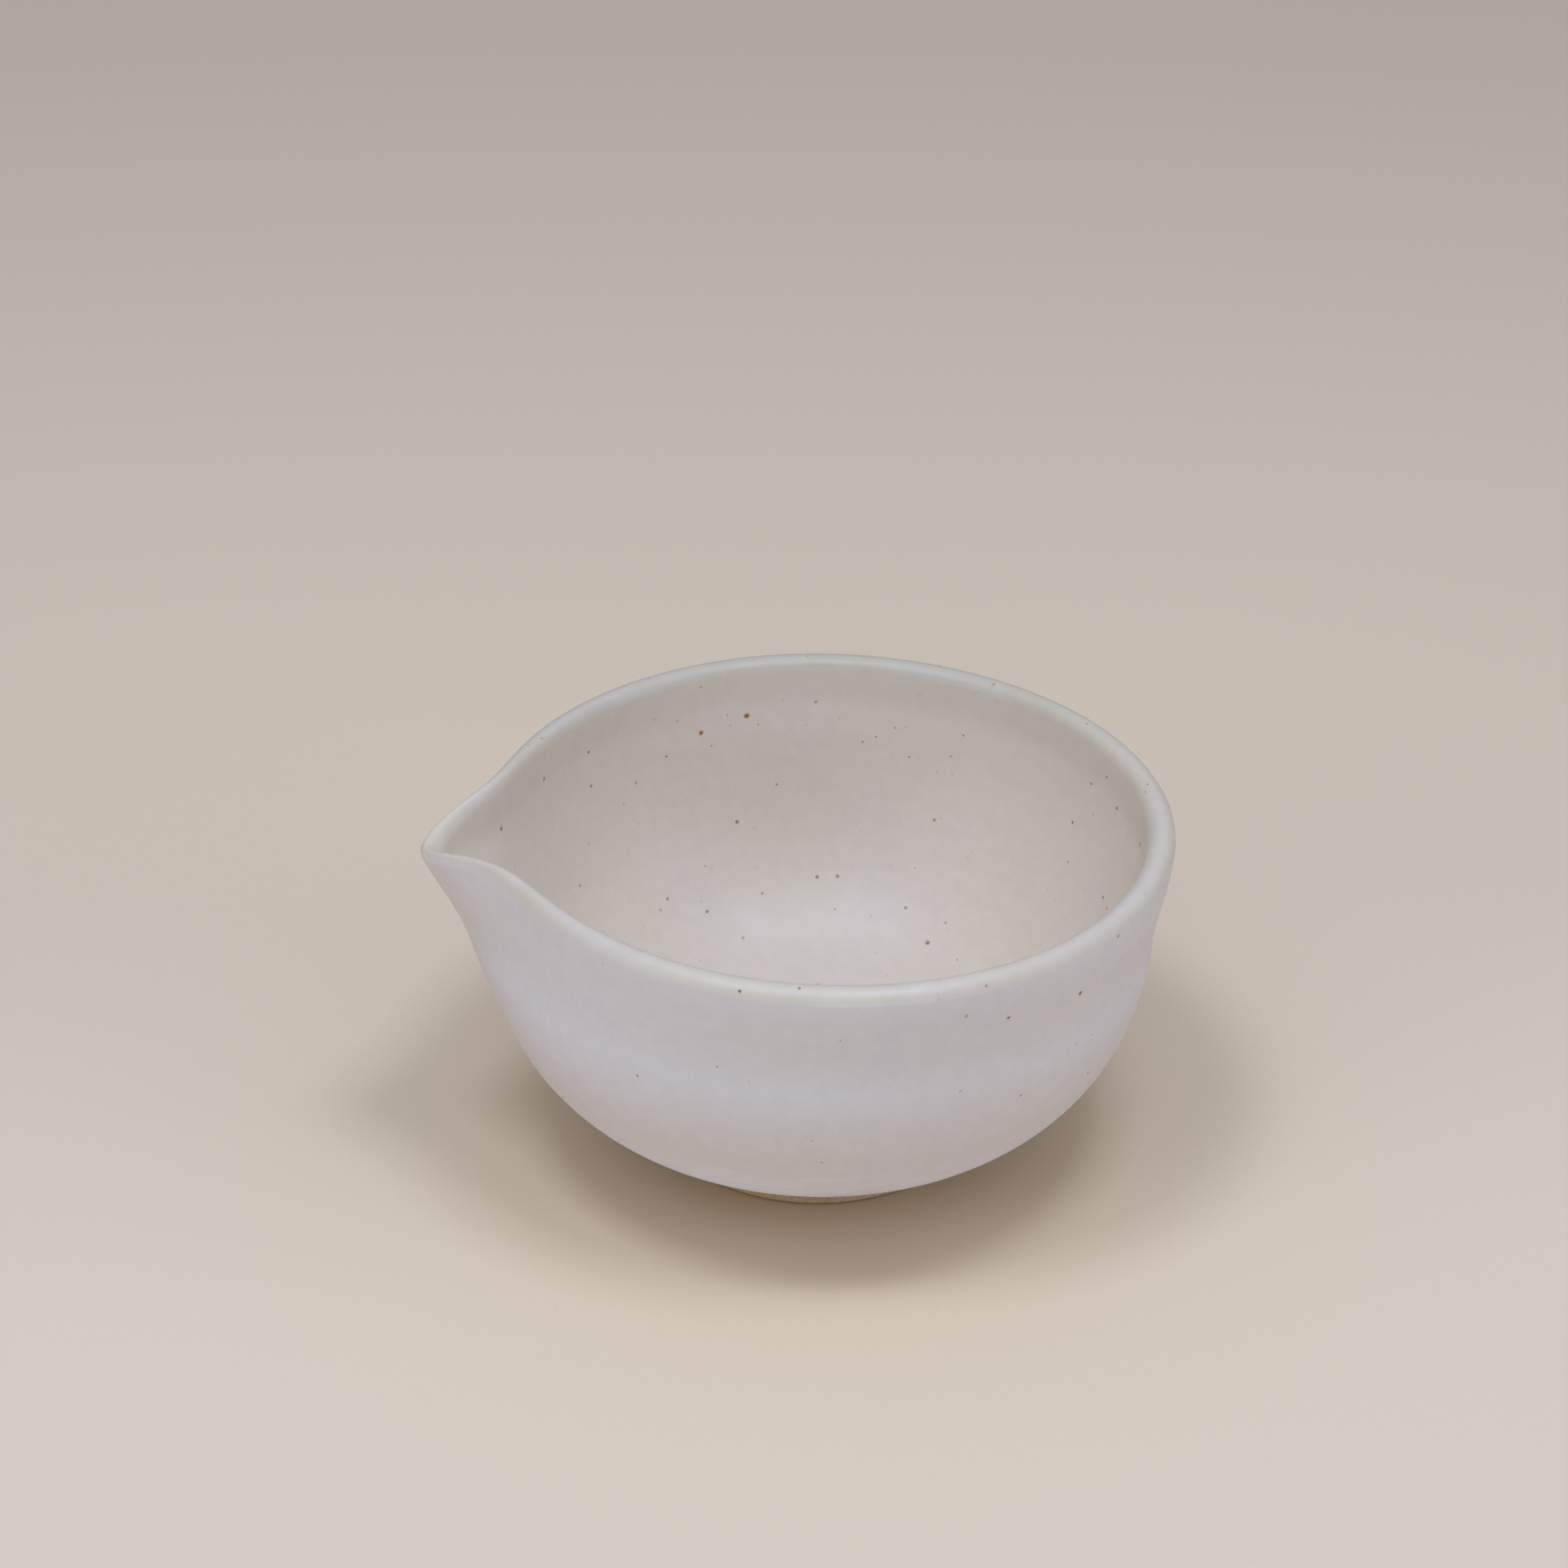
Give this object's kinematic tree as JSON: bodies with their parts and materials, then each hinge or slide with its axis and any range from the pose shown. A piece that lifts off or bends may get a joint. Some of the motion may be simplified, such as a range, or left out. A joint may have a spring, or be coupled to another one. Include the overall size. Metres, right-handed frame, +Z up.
{
  "type": "spouted mortar bowl",
  "caption": "Round stoneware mortar bowl with a rolled lip, a pulled pouring spout, speckled white satin glaze inside and out, and a bare trimmed foot ring.",
  "frame": {"origin": "on the resting plane, under the middle of the bowl's length from the tip of the spout to the back of the lip", "axes": "+Z up out of the bowl's mouth, +X away from the spout, so the spout points along -X; the bowl is symmetric about the XZ plane, and its round axis stands at X = 3.9 mm"},
  "size_m": [0.1278, 0.1174, 0.062],
  "materials": {
    "bare_clay": "matte",
    "inside_glaze": "satin",
    "outside_glaze": "satin"
  },
  "bodies": {
    "root": {"clay_body": "bare_clay", "liner_glaze": "inside_glaze", "outer_glaze": "outside_glaze"}
  },
  "joints": []
}
